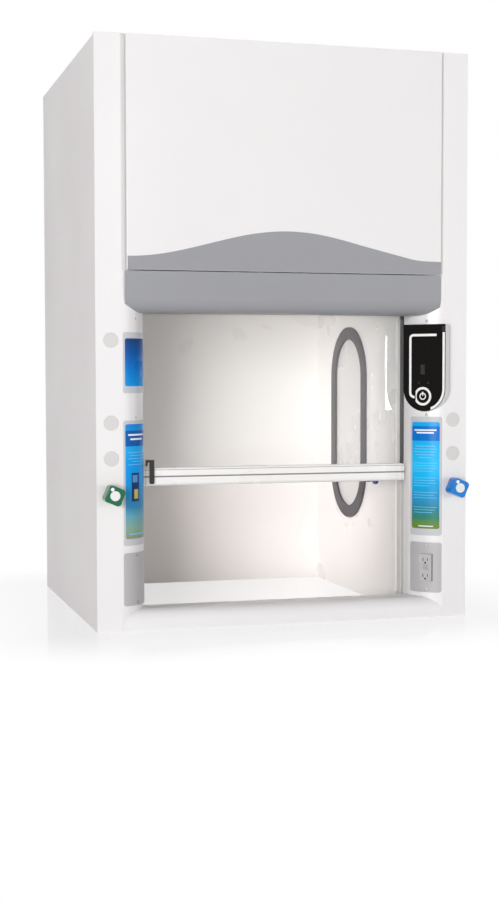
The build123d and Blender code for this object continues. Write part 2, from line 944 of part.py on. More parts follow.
with BuildPart() as valve:
    with BuildSketch(Plane.XY.offset(-sheet)):
        Circle(valve_flange / 2)
    extrude(amount=-valve_flange_depth)
    with BuildSketch(Plane.XY.offset(-sheet)):
        Circle(valve_body / 2)
    extrude(amount=-valve_depth)
    with BuildSketch(Plane.YZ):
        with Locations((0, -sheet - valve_depth + valve_port)):
            Circle(valve_port / 2)
    extrude(amount=-valve_body / 2 - valve_port_reach)
    with BuildSketch(Plane.XY.offset(-sheet)):
        Circle(spindle_diameter / 2 + running)
    extrude(amount=-stem_depth, mode=Mode.SUBTRACT)

fixture_places = {
    "left": face_seat(-fixture_line, knob_height),
    "right": face_seat(fixture_line, knob_height),
}
for name, place in fixture_places.items():
    with BuildPart() as placed_knob:
        with Locations(place):
            add(knob.part)
    finish(placed_knob, f"{name}_knob")
    with BuildPart() as placed_cap:
        with Locations(place):
            add(cap.part)
    finish(placed_cap, f"{name}_knob_cap")

with BuildPart() as right_valve:
    with Locations(fixture_places["right"]):
        add(valve.part)
finish(both_sides(right_valve), "service_valves")


# Hose nozzles in the side liners
barb_run = barb_length / barb_count
with BuildPart() as nozzle:
    with BuildSketch(Plane.XZ):
        with BuildLine():
            outline = [
                (0, -liner_wall - barb_shank),
                (barb_shank / 2, -liner_wall - barb_shank),
                (barb_shank / 2, 0),
                (barb_collar / 2, 0),
                (barb_collar / 2, barb_collar_depth),
            ]
            for step in range(barb_count):
                foot = barb_collar_depth + step * barb_run
                outline.append((barb_diameter / 2 + barb_rise, foot))
                outline.append((barb_diameter / 2, foot + barb_run))
            outline.append((0, barb_collar_depth + barb_length))
            Polyline(*outline, close=True)
        make_face()
    revolve(axis=Axis.Z)

for name, hand in (("left", -1), ("right", 1)):
    with BuildPart() as barb:
        with Locations(liner_seat(hand, knob_height)):
            add(nozzle.part)
    finish(barb, f"{name}_hose_barb")


# Plates that follow the bowed faces
def bowed_plate(low, high, screws=(), window=False):
    near = plate_middle + plate_width / 2 + plate_wall
    far = plate_middle - plate_width / 2 - plate_wall
    with BuildPart() as plate:
        with BuildSketch(Plane.XY.offset(low)):
            with BuildLine():
                ThreePointArc(bow_point(near), bow_point(plate_middle), bow_point(far))
                Line(bow_point(far), bow_point(far, plate_wall))
                ThreePointArc(
                    bow_point(far, plate_wall),
                    bow_point(plate_middle, plate_wall),
                    bow_point(near, plate_wall),
                )
                Line(bow_point(near, plate_wall), bow_point(near))
            make_face()
        extrude(amount=high - low)
        with BuildSketch(bow_plane):
            with Locations((plate_middle, (low + high) / 2)):
                RectangleRounded(plate_width, high - low, plate_corner)
        extrude(amount=2 * post_crown, both=True, mode=Mode.INTERSECT)
        for height in screws:
            with BuildSketch(bow_seat(fitting_shift, height)):
                Circle(screw_shank / 2 + screw_room)
            extrude(amount=2 * plate_wall, both=True, mode=Mode.SUBTRACT)
        if window:
            with BuildSketch(bow_plane):
                with Locations((fitting_shift, socket_middle)):
                    Rectangle(socket_width + 2 * seat, socket_height + 2 * seat)
            extrude(amount=post_crown, both=True, mode=Mode.SUBTRACT)
    return plate


finish(bowed_plate(decal_plate_low, right_decal_plate_high), "right_decal_plate")
finish(mirrored(bowed_plate(decal_plate_low, left_decal_plate_high)), "left_decal_plate")
finish(mirrored(bowed_plate(upper_plate_low, upper_plate_high)), "left_upper_plate")
finish(mirrored(bowed_plate(blank_plate_low, blank_plate_high, screw_heights)), "left_blank_plate")
finish(bowed_plate(blank_plate_low, blank_plate_high, screw_heights, True), "outlet_plate")


# Screws of the plates and of the control panel
with BuildPart() as screw:
    with BuildSketch(Plane.XY):
        Circle(screw_head / 2)
    extrude(amount=screw_proud)
    fillet(screw.edges().group_by(Axis.Z)[-1], radius=screw_proud / 2)
    with BuildSketch(Plane.XY):
        Circle(screw_shank / 2)
    extrude(amount=-screw_depth)

plate_screws = [bow_seat(fitting_shift, height, plate_wall) for height in screw_heights]
panel_screws = [bow_seat(fitting_shift, height) for height in control_screw_heights]
with BuildPart() as face_screws:
    with Locations(*plate_screws, *panel_screws, *[across(place) for place in plate_screws]):
        add(screw.part)
finish(face_screws, "face_screws")


# Receptacle with its test and reset keys
socket_crown = plate_wall + socket_proud
socket_neck = socket_crown + socket_wall
key_room = test_key_depth + test_key_travel + test_key_gap
with BuildPart() as receptacle:
    with BuildSketch(bow_plane.offset(socket_crown)):
        with Locations((fitting_shift, socket_middle)):
            Rectangle(socket_width, socket_height)
    extrude(amount=-socket_neck)
    fillet(receptacle.faces().sort_by(bow_axis)[-1].edges(), radius=socket_edge)
    with BuildSketch(bow_plane.offset(socket_crown - socket_neck)):
        with Locations((fitting_shift, socket_middle)):
            Rectangle(socket_body_width, socket_body_height)
    extrude(amount=-socket_body_depth)
    with BuildSketch(bow_plane.offset(socket_crown)):
        for step in (-1, 1):
            level = socket_middle + step * socket_pitch / 2
            with Locations((fitting_shift - blade_shift, level)):
                Rectangle(slot_gap, neutral_slot)
            with Locations((fitting_shift + blade_shift, level)):
                Rectangle(slot_gap, live_slot)
            with Locations((fitting_shift, level - earth_drop)):
                Circle(earth_hole / 2)
    extrude(amount=-blade_depth, mode=Mode.SUBTRACT)
    with BuildSketch(bow_plane.offset(socket_crown)):
        for step in (-1, 1):
            with Locations((fitting_shift, socket_middle + step * test_key_pitch / 2)):
                Rectangle(test_key_width + 2 * test_key_gap, test_key_height + 2 * test_key_gap)
    extrude(amount=-key_room, mode=Mode.SUBTRACT)
finish(receptacle, "receptacle")

for name, step in (("test_key", 1), ("reset_key", -1)):
    with BuildPart() as key:
        with BuildSketch(bow_plane.offset(socket_crown + test_key_proud)):
            with Locations((fitting_shift, socket_middle + step * test_key_pitch / 2)):
                Rectangle(test_key_width, test_key_height)
        extrude(amount=-test_key_proud - test_key_depth)
    finish(key, name)


# Steel box behind the receptacle, shaped to the inside of the bow
with BuildPart() as outlet_box:
    with BuildSketch(bow_plane):
        with Locations((fitting_shift, socket_middle)):
            Rectangle(box_width, box_height)
    extrude(amount=-box_depth)
    offset(amount=-box_wall, openings=outlet_box.faces().sort_by(bow_axis)[-1])
    with BuildSketch(Plane.XY):
        with Locations((bow_centre.X, bow_centre.Y)):
            Circle(bow_radius - sheet - seat)
    extrude(amount=hood_height, mode=Mode.INTERSECT)
finish(outlet_box, "outlet_box")


# Control panel: a skirted housing on the bow, a glass face and a push key
control_plane = bow_plane.offset(control_stand)


def control_outline(inset):
    # Flat top with small corners over a half-round foot
    half = control_width / 2 - inset
    middle = control_low + control_width / 2
    with BuildSketch(Plane.XY) as outline:
        with BuildLine():
            Polyline(
                (control_shift - half, middle),
                (control_shift - half, control_high - inset),
                (control_shift + half, control_high - inset),
                (control_shift + half, middle),
            )
            ThreePointArc(
                (control_shift + half, middle),
                (control_shift, middle - half),
                (control_shift - half, middle),
            )
        make_face()
        fillet(outline.vertices().group_by(Axis.Y)[-1], radius=control_corner)
    return outline.sketch


power_place = (power_key_shift, control_low + power_key_rise)
with BuildPart() as control_housing:
    with BuildSketch(control_plane):
        add(control_outline(0))
    extrude(amount=-control_stand - control_skirt)
    offset(amount=-control_wall, openings=control_housing.faces().sort_by(bow_axis)[0])
    with BuildSketch(control_plane):
        with Locations(power_place):
            Circle(power_key_stem / 2 + power_key_gap)
    extrude(amount=-2 * control_wall, mode=Mode.SUBTRACT)
    extrude(post_room, amount=hood_height, mode=Mode.SUBTRACT)
finish(control_housing, "control_housing")

with BuildPart() as control_glass_face:
    with BuildSketch(control_plane):
        add(control_outline(power_key_gap))
        with Locations(power_place):
            Circle(power_key_diameter / 2 + power_key_gap, mode=Mode.SUBTRACT)
    extrude(amount=control_glass)
finish(control_glass_face, "control_glass")

with BuildPart() as power_key:
    with BuildSketch(control_plane.offset(control_glass)):
        with Locations(power_place):
            Circle(power_key_diameter / 2)
    extrude(amount=-power_key_disc)
    with BuildSketch(control_plane.offset(control_glass - power_key_disc)):
        with Locations(power_place):
            Circle(power_key_stem / 2)
    extrude(amount=-power_key_length)
finish(power_key, "power_key")


# Sash handle extrusion, hollow, with a channel for the pane
pane_front = front + sash_plane - glass_wall / 2
pane_back = pane_front + glass_wall
grip_front = front + handle_front
grip_back = front + handle_back
channel_front = pane_front - seat - channel_wall
handle_head = sash_foot + handle_height
with BuildPart() as handle:
    with BuildSketch(Plane.YZ):
        with BuildLine():
            Polyline(
                (grip_front, sash_foot),
                (grip_front, sash_foot + handle_groove - groove_depth),
                (grip_front + groove_depth, sash_foot + handle_groove),
                (grip_front, sash_foot + handle_groove + groove_depth),
                (grip_front, handle_head),
                (grip_front + handle_wall, handle_head),
                (grip_front + handle_wall, handle_head - handle_ledge),
                (channel_front, handle_head - handle_ledge),
                (channel_front, handle_head),
                (grip_back, handle_head),
                (grip_back, sash_foot),
                close=True,
            )
        make_face()
        with Locations((pane_front + glass_wall / 2, handle_head)):
            Rectangle(glass_wall + 2 * seat, 2 * glass_bite + 2 * seat, mode=Mode.SUBTRACT)
    extrude(amount=handle_half, both=True)
    lower_edges = handle.edges().filter_by(Axis.X).group_by(Axis.Z)[0]
    fillet(lower_edges, radius=handle_round)
    hollow_middle = (grip_front + channel_front + handle_wall) / 2
    hollow_width = channel_front - grip_front - 3 * handle_wall
    with BuildSketch(Plane.YZ):
        with Locations((hollow_middle, sash_foot + handle_height / 2 - handle_wall)):
            RectangleRounded(hollow_width, handle_height - 6 * handle_wall, handle_wall)
    extrude(amount=handle_half, both=True, mode=Mode.SUBTRACT)
    with BuildSketch(Plane.XZ.offset(-grip_front)):
        with Locations((latch_middle, latch_pin_height)):
            Circle(latch_pin / 2 + running)
    extrude(amount=-latch_pin_reach - seat, mode=Mode.SUBTRACT)
finish(handle, "sash_handle")


# Pane, top rail and the two glides that hold the pane and its cables
pane_foot = handle_head - glass_bite
with BuildPart() as pane:
    with BuildSketch(Plane.XZ.offset(-pane_front)):
        with Locations((0, (pane_foot + glass_head) / 2)):
            Rectangle(2 * glass_half, glass_head - pane_foot)
    extrude(amount=-glass_wall)
finish(pane, "sash_glass")

rail_half_wall = glass_wall / 2 + seat + channel_wall
with BuildPart() as top_rail:
    with BuildSketch(Plane.YZ):
        with Locations((front + sash_plane, glass_head + seat + (channel_wall - glass_bite) / 2)):
            Rectangle(2 * rail_half_wall, glass_bite + channel_wall)
        with Locations((front + sash_plane, glass_head + seat - glass_bite)):
            Rectangle(glass_wall + 2 * seat, 2 * glass_bite, mode=Mode.SUBTRACT)
    extrude(amount=handle_half, both=True)
finish(top_rail, "sash_top_rail")

with BuildPart() as glide:
    with BuildSketch(Plane.XY.offset(sash_foot)):
        with Locations(((glide_inner + glide_outer) / 2, front + sash_plane)):
            Rectangle(glide_outer - glide_inner, track_groove - 2 * glide_gap)
    extrude(amount=glass_head + channel_wall - sash_foot)
    with BuildSketch(Plane.XY.offset(pane_foot - seat)):
        with Locations((glass_half + seat - glide_outer / 2, front + sash_plane)):
            Rectangle(glide_outer, glass_wall + 2 * seat)
    extrude(amount=glass_head - pane_foot + 2 * seat, mode=Mode.SUBTRACT)
    with BuildSketch(Plane.XY.offset(lug_foot)):
        with Locations(((glide_outer + lug_reach) / 2, front + sash_plane)):
            Rectangle(lug_reach - glide_outer, 2 * lug_half_wall)
    extrude(amount=lug_length)
finish(both_sides(glide), "sash_glides")


# Sash latch with its hook and pivot
latch_left = latch_middle - latch_width / 2
latch_right = latch_middle + latch_width / 2
latch_head = latch_foot + latch_height
with BuildPart() as latch:
    with BuildSketch(Plane.XZ.offset(-grip_front + seat)):
        with BuildLine():
            Polyline(
                (latch_right, latch_foot),
                (latch_right, latch_head),
                (latch_left - latch_hook, latch_head),
                (latch_left - latch_hook, latch_head - latch_tip_drop),
                (latch_left - latch_hook + latch_tip, latch_head - latch_tip_drop),
                (latch_left - latch_hook + latch_tip, latch_head - latch_hook_height),
                (latch_left, latch_head - latch_hook_height),
                (latch_left, latch_foot),
                close=True,
            )
        make_face()
    extrude(amount=latch_wall)
    fillet(latch.edges().filter_by(Axis.Y).group_by(Axis.Z)[0], radius=latch_tip)
    with BuildSketch(Plane.XZ.offset(-grip_front + seat)):
        with Locations((latch_middle, latch_pin_height)):
            Circle(latch_pin / 2)
    extrude(amount=-latch_pin_reach)
finish(latch, "sash_latch")


# Sash tracks: a groove, a return and a wing that holds the liner
track_rear = track_front + 2 * track_wall + track_groove
wing_line = opening_half + liner_wall + seat + track_wall
with BuildPart() as track:
    with BuildSketch(Plane.XY):
        with BuildLine():
            Polyline(
                (opening_half + track_wall, front + track_front),
                (track_web, front + track_front),
                (track_web, front + track_rear),
                (opening_half + track_wall, front + track_rear),
                (opening_half + track_wall, front + track_rear + track_box),
                (wing_line, front + track_rear + track_box),
                (wing_line, front + track_rear + track_box + track_wing),
            )
            offset(amount=track_wall, side=Side.LEFT)
        make_face()
    extrude(amount=track_head)
    with BuildSketch(Plane.XY.offset(liner_head - seat)):
        with Locations((wing_line, front + liner_front + track_wing / 2 - seat)):
            Rectangle(6 * track_wall, track_wing)
    extrude(amount=track_head, mode=Mode.SUBTRACT)
finish(both_sides(track), "sash_tracks")


# Beams that carry the pulleys from the posts to the back panel
with BuildPart() as beam:
    with BuildSketch(Plane.XY.offset(beam_foot)):
        with BuildLine():
            Polyline(
                (opening_half + beam_wall, front + track_front),
                (beam_web, front + track_front),
                (beam_web, back - sheet - seat),
                (opening_half + beam_wall, back - sheet - seat),
            )
            offset(amount=beam_wall, side=Side.LEFT)
        make_face()
    extrude(amount=beam_height)
    with BuildSketch(Plane.YZ.offset(beam_web)):
        with Locations([(front + depth, pulley_height) for depth in (front_pulley_depth, rear_pulley_depth)]):
            Circle(pulley_bore / 2)
    extrude(amount=-2 * beam_wall, mode=Mode.SUBTRACT)
finish(both_sides(beam), "pulley_beams")


# Pulleys turned about local Z, and the pins they run on
with BuildPart() as pulley:
    with BuildSketch(Plane.XZ):
        with BuildLine():
            rim = pulley_diameter / 2
            root = rim - pulley_groove_depth
            half_face = pulley_width / 2
            half_root = cable_diameter / 2 + cable_room
            Polyline(
                (pulley_bore / 2, -half_face),
                (rim, -half_face),
                (rim, -half_root - pulley_groove_width / 4),
                (root, -half_root),
                (root, half_root),
                (rim, half_root + pulley_groove_width / 4),
                (rim, half_face),
                (pulley_bore / 2, half_face),
                close=True,
            )
        make_face()
    revolve(axis=Axis.Z)

with BuildPart() as pin:
    with BuildSketch(Plane.XZ):
        with BuildLine():
            shank = pulley_bore / 2 - running
            web_inner = beam_web - beam_wall - cable_line
            Polyline(
                (0, -half_face - seat - axle_head_wall),
                (axle_head / 2, -half_face - seat - axle_head_wall),
                (axle_head / 2, -half_face - seat),
                (shank, -half_face - seat),
                (shank, half_face + seat),
                (axle_head / 2, half_face + seat),
                (axle_head / 2, web_inner),
                (shank, web_inner),
                (shank, web_inner + beam_wall),
                (0, web_inner + beam_wall),
                close=True,
            )
        make_face()
    revolve(axis=Axis.Z)

pulley_depths = {"front_pulleys": front_pulley_depth, "rear_pulleys": rear_pulley_depth}
pin_places = []
for name, depth in pulley_depths.items():
    places = [
        Plane(origin=(hand * cable_line, front + depth, pulley_height), x_dir=(0, 1, 0), z_dir=(hand, 0, 0))
        for hand in (-1, 1)
    ]
    pin_places.extend(places)
    with BuildPart() as pulley_pair:
        with Locations(*places):
            add(pulley.part)
    finish(pulley_pair, name)
with BuildPart() as pulley_pins:
    with Locations(*pin_places):
        add(pin.part)
finish(pulley_pins, "pulley_pins")


# Counterweight bar behind the rear liner
with BuildPart() as weight:
    with BuildSketch(Plane.XY.offset(weight_foot)):
        with Locations((0, front + weight_line)):
            Rectangle(2 * weight_half, weight_wall)
    extrude(amount=weight_height)
finish(weight, "counterweight")


# Cables: the drops at the sash and at the weight, and the runs over the pulleys
cable_drops = (
    ("front_cables", sash_plane, lug_foot + lug_length),
    ("rear_cables", weight_line, weight_foot + weight_height),
)
for name, depth, foot in cable_drops:
    with BuildPart() as drop:
        with BuildSketch(Plane.XY.offset(foot)):
            with Locations((-cable_line, front + depth), (cable_line, front + depth)):
                Circle(cable_diameter / 2)
        extrude(amount=pulley_height - foot)
    finish(drop, name)

with BuildPart() as run:
    with BuildLine(Plane.YZ.offset(cable_line)) as path:
        first = CenterArc((front + front_pulley_depth, pulley_height), pitch_radius, 180, -90)
        last = CenterArc((front + rear_pulley_depth, pulley_height), pitch_radius, 90, -90)
        Line(first @ 1, last @ 0)
    with BuildSketch(Plane(origin=first @ 0, z_dir=first % 0)):
        Circle(cable_diameter / 2)
    sweep()
finish(both_sides(run), "top_cables")
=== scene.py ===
import bpy
import math
from mathutils import Matrix, Vector


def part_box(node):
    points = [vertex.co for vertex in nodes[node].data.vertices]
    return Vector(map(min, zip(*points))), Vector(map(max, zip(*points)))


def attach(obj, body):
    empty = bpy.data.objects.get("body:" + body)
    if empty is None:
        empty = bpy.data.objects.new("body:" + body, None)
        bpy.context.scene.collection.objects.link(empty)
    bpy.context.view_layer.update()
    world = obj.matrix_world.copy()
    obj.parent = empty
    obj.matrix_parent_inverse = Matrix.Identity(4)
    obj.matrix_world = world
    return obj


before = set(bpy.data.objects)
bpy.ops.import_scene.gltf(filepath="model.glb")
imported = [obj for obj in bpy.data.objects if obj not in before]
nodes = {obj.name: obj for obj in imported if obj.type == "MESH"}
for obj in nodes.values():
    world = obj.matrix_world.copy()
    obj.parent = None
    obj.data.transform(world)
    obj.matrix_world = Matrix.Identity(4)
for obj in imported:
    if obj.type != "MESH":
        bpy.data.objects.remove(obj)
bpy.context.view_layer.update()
print("frame loaded")

mm = 0.001
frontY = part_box("right_corner_post")[0].y  # front plane of the corner posts


def depth(millimetres):
    # how far behind the posts' front plane a thing lies, as a place along Y
    return frontY + millimetres * mm


def deselectAll():
    bpy.ops.object.select_all(action="DESELECT")


# node building helpers
def newMaterial(name):
    material = bpy.data.materials.new(name)
    material.use_nodes = True
    tree = material.node_tree
    shader = tree.nodes["Principled BSDF"]
    return material, tree, shader


def addNode(tree, kind, values=None, **settings):
    node = tree.nodes.new(kind)
    for key, value in settings.items():
        setattr(node, key, value)
    for key, value in (values or {}).items():
        node.inputs[key].default_value = value
    return node


def connect(tree, source, target):
    tree.links.new(source, target)


def feed(tree, node, key, source):
    # a number or colour is set on the socket, a socket is linked to it
    if isinstance(source, bpy.types.NodeSocket):
        connect(tree, source, node.inputs[key])
    else:
        node.inputs[key].default_value = source


def maths(tree, operation, first, second=0.0, clamp=False):
    node = addNode(tree, "ShaderNodeMath", operation=operation, use_clamp=clamp)
    feed(tree, node, 0, first)
    feed(tree, node, 1, second)
    return node.outputs[0]


def blendColour(tree, mask, under, over):
    node = addNode(tree, "ShaderNodeMix", data_type="RGBA")
    feed(tree, node, 0, mask)
    feed(tree, node, 6, under)
    feed(tree, node, 7, over)
    return node.outputs[2]


def shade(value):
    # a display colour, 0 to 255, as the linear colour that Blender wants
    linear = [channel / 255 for channel in value]
    linear = [c / 12.92 if c <= 0.04045 else ((c + 0.055) / 1.055) ** 2.4 for c in linear]
    return (*linear, 1.0)


def groupWith(name, inputs, outputs):
    group = bpy.data.node_groups.new(name, "ShaderNodeTree")
    for label, kind, value in inputs:
        socket = group.interface.new_socket(name=label, in_out="INPUT", socket_type=kind)
        if value is not None:
            socket.default_value = value
    for label, kind in outputs:
        group.interface.new_socket(name=label, in_out="OUTPUT", socket_type=kind)
    entry = group.nodes.new("NodeGroupInput")
    leave = group.nodes.new("NodeGroupOutput")
    return group, entry, leave


def useGroup(tree, group, **values):
    node = tree.nodes.new("ShaderNodeGroup")
    node.node_tree = group
    for key, value in values.items():
        feed(tree, node, key, value)
    return node


# shared effects
skinSettings = {
    "drift": {"Scale": 3.5, "Detail": 3.0, "Roughness": 0.55},
    "grain": {"Detail": 2.0, "Roughness": 0.6},
    "reliefDepth": 0.0002,
    "glossSwing": 0.25,
}


def makePaintSkin(settings):
    # slow tone drift, fine orange peel and a roughness that drifts with it
    group, entry, leave = groupWith(
        "paintSkin",
        [
            ("Colour", "NodeSocketColor", (0.8, 0.8, 0.8, 1.0)),
            ("Drift", "NodeSocketFloat", 0.03),
            ("Gloss", "NodeSocketFloat", 0.35),
            ("Grain", "NodeSocketFloat", 700.0),
            ("Relief", "NodeSocketFloat", 0.12),
        ],
        [("Colour", "NodeSocketColor"), ("Roughness", "NodeSocketFloat"), ("Normal", "NodeSocketVector")],
    )
    place = addNode(group, "ShaderNodeTexCoord").outputs["Object"]
    slow = addNode(group, "ShaderNodeTexNoise", settings["drift"])
    connect(group, place, slow.inputs["Vector"])
    lift = maths(group, "SUBTRACT", slow.outputs["Fac"], 0.5)
    swing = maths(group, "MULTIPLY", lift, entry.outputs["Drift"])
    gain = maths(group, "ADD", swing, 1.0)
    toned = addNode(group, "ShaderNodeVectorMath", operation="SCALE")
    connect(group, entry.outputs["Colour"], toned.inputs[0])
    connect(group, gain, toned.inputs["Scale"])
    connect(group, toned.outputs[0], leave.inputs["Colour"])
    fine = addNode(group, "ShaderNodeTexNoise", settings["grain"])
    connect(group, place, fine.inputs["Vector"])
    connect(group, entry.outputs["Grain"], fine.inputs["Scale"])
    bump = addNode(group, "ShaderNodeBump", {"Distance": settings["reliefDepth"]})
    connect(group, entry.outputs["Relief"], bump.inputs["Strength"])
    connect(group, fine.outputs["Fac"], bump.inputs["Height"])
    connect(group, bump.outputs[0], leave.inputs["Normal"])
    rough = maths(group, "MULTIPLY", lift, settings["glossSwing"])
    connect(group, maths(group, "ADD", rough, entry.outputs["Gloss"], True), leave.inputs["Roughness"])
    return group


def makeRoundField():
    # a rectangle with round corners on the U, V plane, in millimetres: 1 inside, 0 outside
    group, entry, leave = groupWith(
        "roundField",
        [
            ("U", "NodeSocketFloat", 0.0),
            ("V", "NodeSocketFloat", 0.0),
            ("Middle U", "NodeSocketFloat", 0.0),
            ("Middle V", "NodeSocketFloat", 0.0),
            ("Half U", "NodeSocketFloat", 10.0),
            ("Half V", "NodeSocketFloat", 10.0),
            ("Corner", "NodeSocketFloat", 1.0),
            ("Edge", "NodeSocketFloat", 0.15),
        ],
        [("Mask", "NodeSocketFloat"), ("Distance", "NodeSocketFloat")],
    )
    reach = []
    for axis in ("U", "V"):
        off = maths(group, "SUBTRACT", entry.outputs[axis], entry.outputs["Middle " + axis])
        far = maths(group, "ABSOLUTE", off)
        inner = maths(group, "SUBTRACT", entry.outputs["Half " + axis], entry.outputs["Corner"])
        reach.append(maths(group, "SUBTRACT", far, inner))
    outU = maths(group, "MAXIMUM", reach[0], 0.0)
    outV = maths(group, "MAXIMUM", reach[1], 0.0)
    squared = maths(group, "ADD", maths(group, "MULTIPLY", outU, outU), maths(group, "MULTIPLY", outV, outV))
    outside = maths(group, "SQRT", squared)
    inside = maths(group, "MINIMUM", maths(group, "MAXIMUM", reach[0], reach[1]), 0.0)
    away = maths(group, "SUBTRACT", maths(group, "ADD", outside, inside), entry.outputs["Corner"])
    connect(group, away, leave.inputs["Distance"])
    soft = maths(group, "DIVIDE", away, entry.outputs["Edge"])
    connect(group, maths(group, "SUBTRACT", 0.5, soft, True), leave.inputs["Mask"])
    return group


paintSkin = makePaintSkin(skinSettings)
roundField = makeRoundField()


# materials
paintSkinValues = {
    "drift": 0.03,
    "gloss": 0.34,
    "grain": 700.0,
    "relief": 0.12,
    "coat": 0.0,
    "shine": 0.5,
    "metal": 0.0,
}
smoothSkinValues = {**paintSkinValues, "gloss": 0.3, "grain": 900.0, "relief": 0.05}
metalSkinValues = {
    **paintSkinValues,
    "drift": 0.08,
    "gloss": 0.32,
    "grain": 500.0,
    "relief": 0.15,
    "metal": 1.0,
}


def finished(name, colour, look):
    # the colour is a display colour, or a function that works it out over the surface
    material, tree, shader = newMaterial(name)
    skin = useGroup(tree, paintSkin)
    for key in ("drift", "gloss", "grain", "relief"):
        skin.inputs[key.capitalize()].default_value = look[key]
    feed(tree, skin, "Colour", colour(tree) if callable(colour) else shade(colour))
    connect(tree, skin.outputs["Colour"], shader.inputs["Base Color"])
    connect(tree, skin.outputs["Roughness"], shader.inputs["Roughness"])
    connect(tree, skin.outputs["Normal"], shader.inputs["Normal"])
    shader.inputs["Coat Weight"].default_value = look["coat"]
    shader.inputs["Specular IOR Level"].default_value = look["shine"]
    shader.inputs["Metallic"].default_value = look["metal"]
    return material


def give(material, *names):
    for name in names:
        piece = nodes[name]
        if not piece.material_slots:
            piece.data.materials.append(material)
        for holder in piece.material_slots:
            holder.material = material


# finishes of one colour, with the pieces that have them
paints = {
    "postPaint": {
        "colour": (228, 227, 227),
        "pieces": ["left_corner_post", "right_corner_post", "sill"],
    },
    "casePaint": {
        "colour": (226, 222, 223),
        "pieces": ["left_side_panel", "right_side_panel", "back_panel", "top_panel"],
    },
    "panelPaint": {"colour": (226, 225, 225), "pieces": ["front_panel"]},
    "waveGrey": {"colour": (146, 147, 151), "gloss": 0.42, "pieces": ["wave_film"]},
    "headerGrey": {"colour": (146, 147, 151), "gloss": 0.42, "pieces": ["header"]},
    "linerWhite": {
        "colour": (236, 233, 231),
        "gloss": 0.3,
        "grain": 400.0,
        "relief": 0.05,
        "pieces": ["left_liner", "right_liner", "rear_liner", "ceiling"],
    },
    "coverWhite": {
        "colour": (208, 206, 205),
        "gloss": 0.3,
        "grain": 400.0,
        "relief": 0.05,
        "pieces": ["service_covers"],
    },
    "gasketGrey": {
        "colour": (80, 76, 80),
        "drift": 0.06,
        "gloss": 0.55,
        "grain": 900.0,
        "relief": 0.2,
        "pieces": ["cover_gaskets"],
    },
    "lensWhite": {"colour": (232, 232, 228), "drift": 0.02, "gloss": 0.3, "pieces": ["light_lens"]},
    "filterCard": {
        "colour": (205, 203, 196),
        "drift": 0.1,
        "gloss": 0.8,
        "grain": 1500.0,
        "relief": 0.4,
        "pieces": ["prefilter"],
    },
    "carbonCase": {"colour": (48, 48, 50), "drift": 0.1, "gloss": 0.6, "pieces": ["carbon_filter"]},
    "motorCase": {"colour": (40, 40, 43), "drift": 0.05, "gloss": 0.4, "pieces": ["fan_motor"]},
    "capWhite": {
        "colour": (226, 226, 226),
        "gloss": 0.2,
        "grain": 900.0,
        "relief": 0.05,
        "coat": 0.4,
        "pieces": ["left_knob_cap", "right_knob_cap"],
    },
    "barbGreen": {"colour": (20, 92, 70), "drift": 0.05, "gloss": 0.25, "pieces": ["left_hose_barb"]},
    "barbBlue": {"colour": (26, 62, 140), "drift": 0.05, "gloss": 0.25, "pieces": ["right_hose_barb"]},
    "keyGrey": {"colour": (176, 175, 176), "drift": 0.02, "gloss": 0.3, "pieces": ["test_key", "reset_key"]},
    "housingWhite": {
        "colour": (225, 225, 228),
        "drift": 0.02,
        "gloss": 0.25,
        "grain": 900.0,
        "relief": 0.05,
        "pieces": ["control_housing"],
    },
    "railWhite": {"colour": (222, 220, 218), "drift": 0.02, "gloss": 0.3, "pieces": ["sash_top_rail"]},
    "glideGrey": {"colour": (78, 77, 78), "drift": 0.05, "gloss": 0.5, "pieces": ["sash_glides"]},
    "latchBlack": {"colour": (22, 21, 22), "drift": 0.05, "gloss": 0.35, "pieces": ["sash_latch"]},
    "trackWhite": {"colour": (206, 204, 202), "drift": 0.02, "gloss": 0.35, "pieces": ["sash_tracks"]},
    "pulleyPlastic": {"colour": (215, 213, 205), "gloss": 0.4, "pieces": ["front_pulleys", "rear_pulleys"]},
    "weightBlack": {"colour": (50, 50, 53), "drift": 0.05, "gloss": 0.5, "pieces": ["counterweight"]},
    "plateSteel": {
        "colour": (178, 176, 178),
        "drift": 0.04,
        "gloss": 0.4,
        "grain": 900.0,
        "relief": 0.1,
        "pieces": ["left_blank_plate", "outlet_plate"],
    },
}
metals = {
    "zincSteel": {
        "colour": (190, 192, 194),
        "pieces": ["cross_rails", "light_housing", "fan_deck", "motor_bridge", "outlet_box", "pulley_beams"],
    },
    "fanAlloy": {"colour": (205, 206, 208), "gloss": 0.38, "pieces": ["impeller"]},
    "screwSteel": {"colour": (170, 170, 172), "gloss": 0.3, "pieces": ["face_screws", "pulley_pins"]},
    "cableSteel": {
        "colour": (150, 150, 153),
        "gloss": 0.35,
        "grain": 2500.0,
        "relief": 0.6,
        "pieces": ["front_cables", "rear_cables", "top_cables"],
    },
    "valveBrass": {"colour": (205, 170, 95), "gloss": 0.3, "pieces": ["service_valves"]},
}
for table, values in ((paints, paintSkinValues), (metals, metalSkinValues)):
    for name, look in table.items():
        give(finished(name, look["colour"], {**values, **look}), *look["pieces"])


# the bowed faces, as the plates and the control panel see them
bow = {"edge": 397.0, "opening": 334.0, "return": 68.0, "crown": 14.0}
chord = math.hypot(bow["edge"] - bow["opening"], bow["return"])
bowOut = Vector((-bow["return"] / chord, (bow["opening"] - bow["edge"]) / chord, 0.0))
bowAlong = Vector((-bowOut.y, bowOut.x, 0.0))
chordMiddle = Vector(((bow["edge"] + bow["opening"]) / 2 * mm, depth(bow["return"] / 2), 0.0))
bowMiddle = chordMiddle + bowOut * bow["crown"] * mm


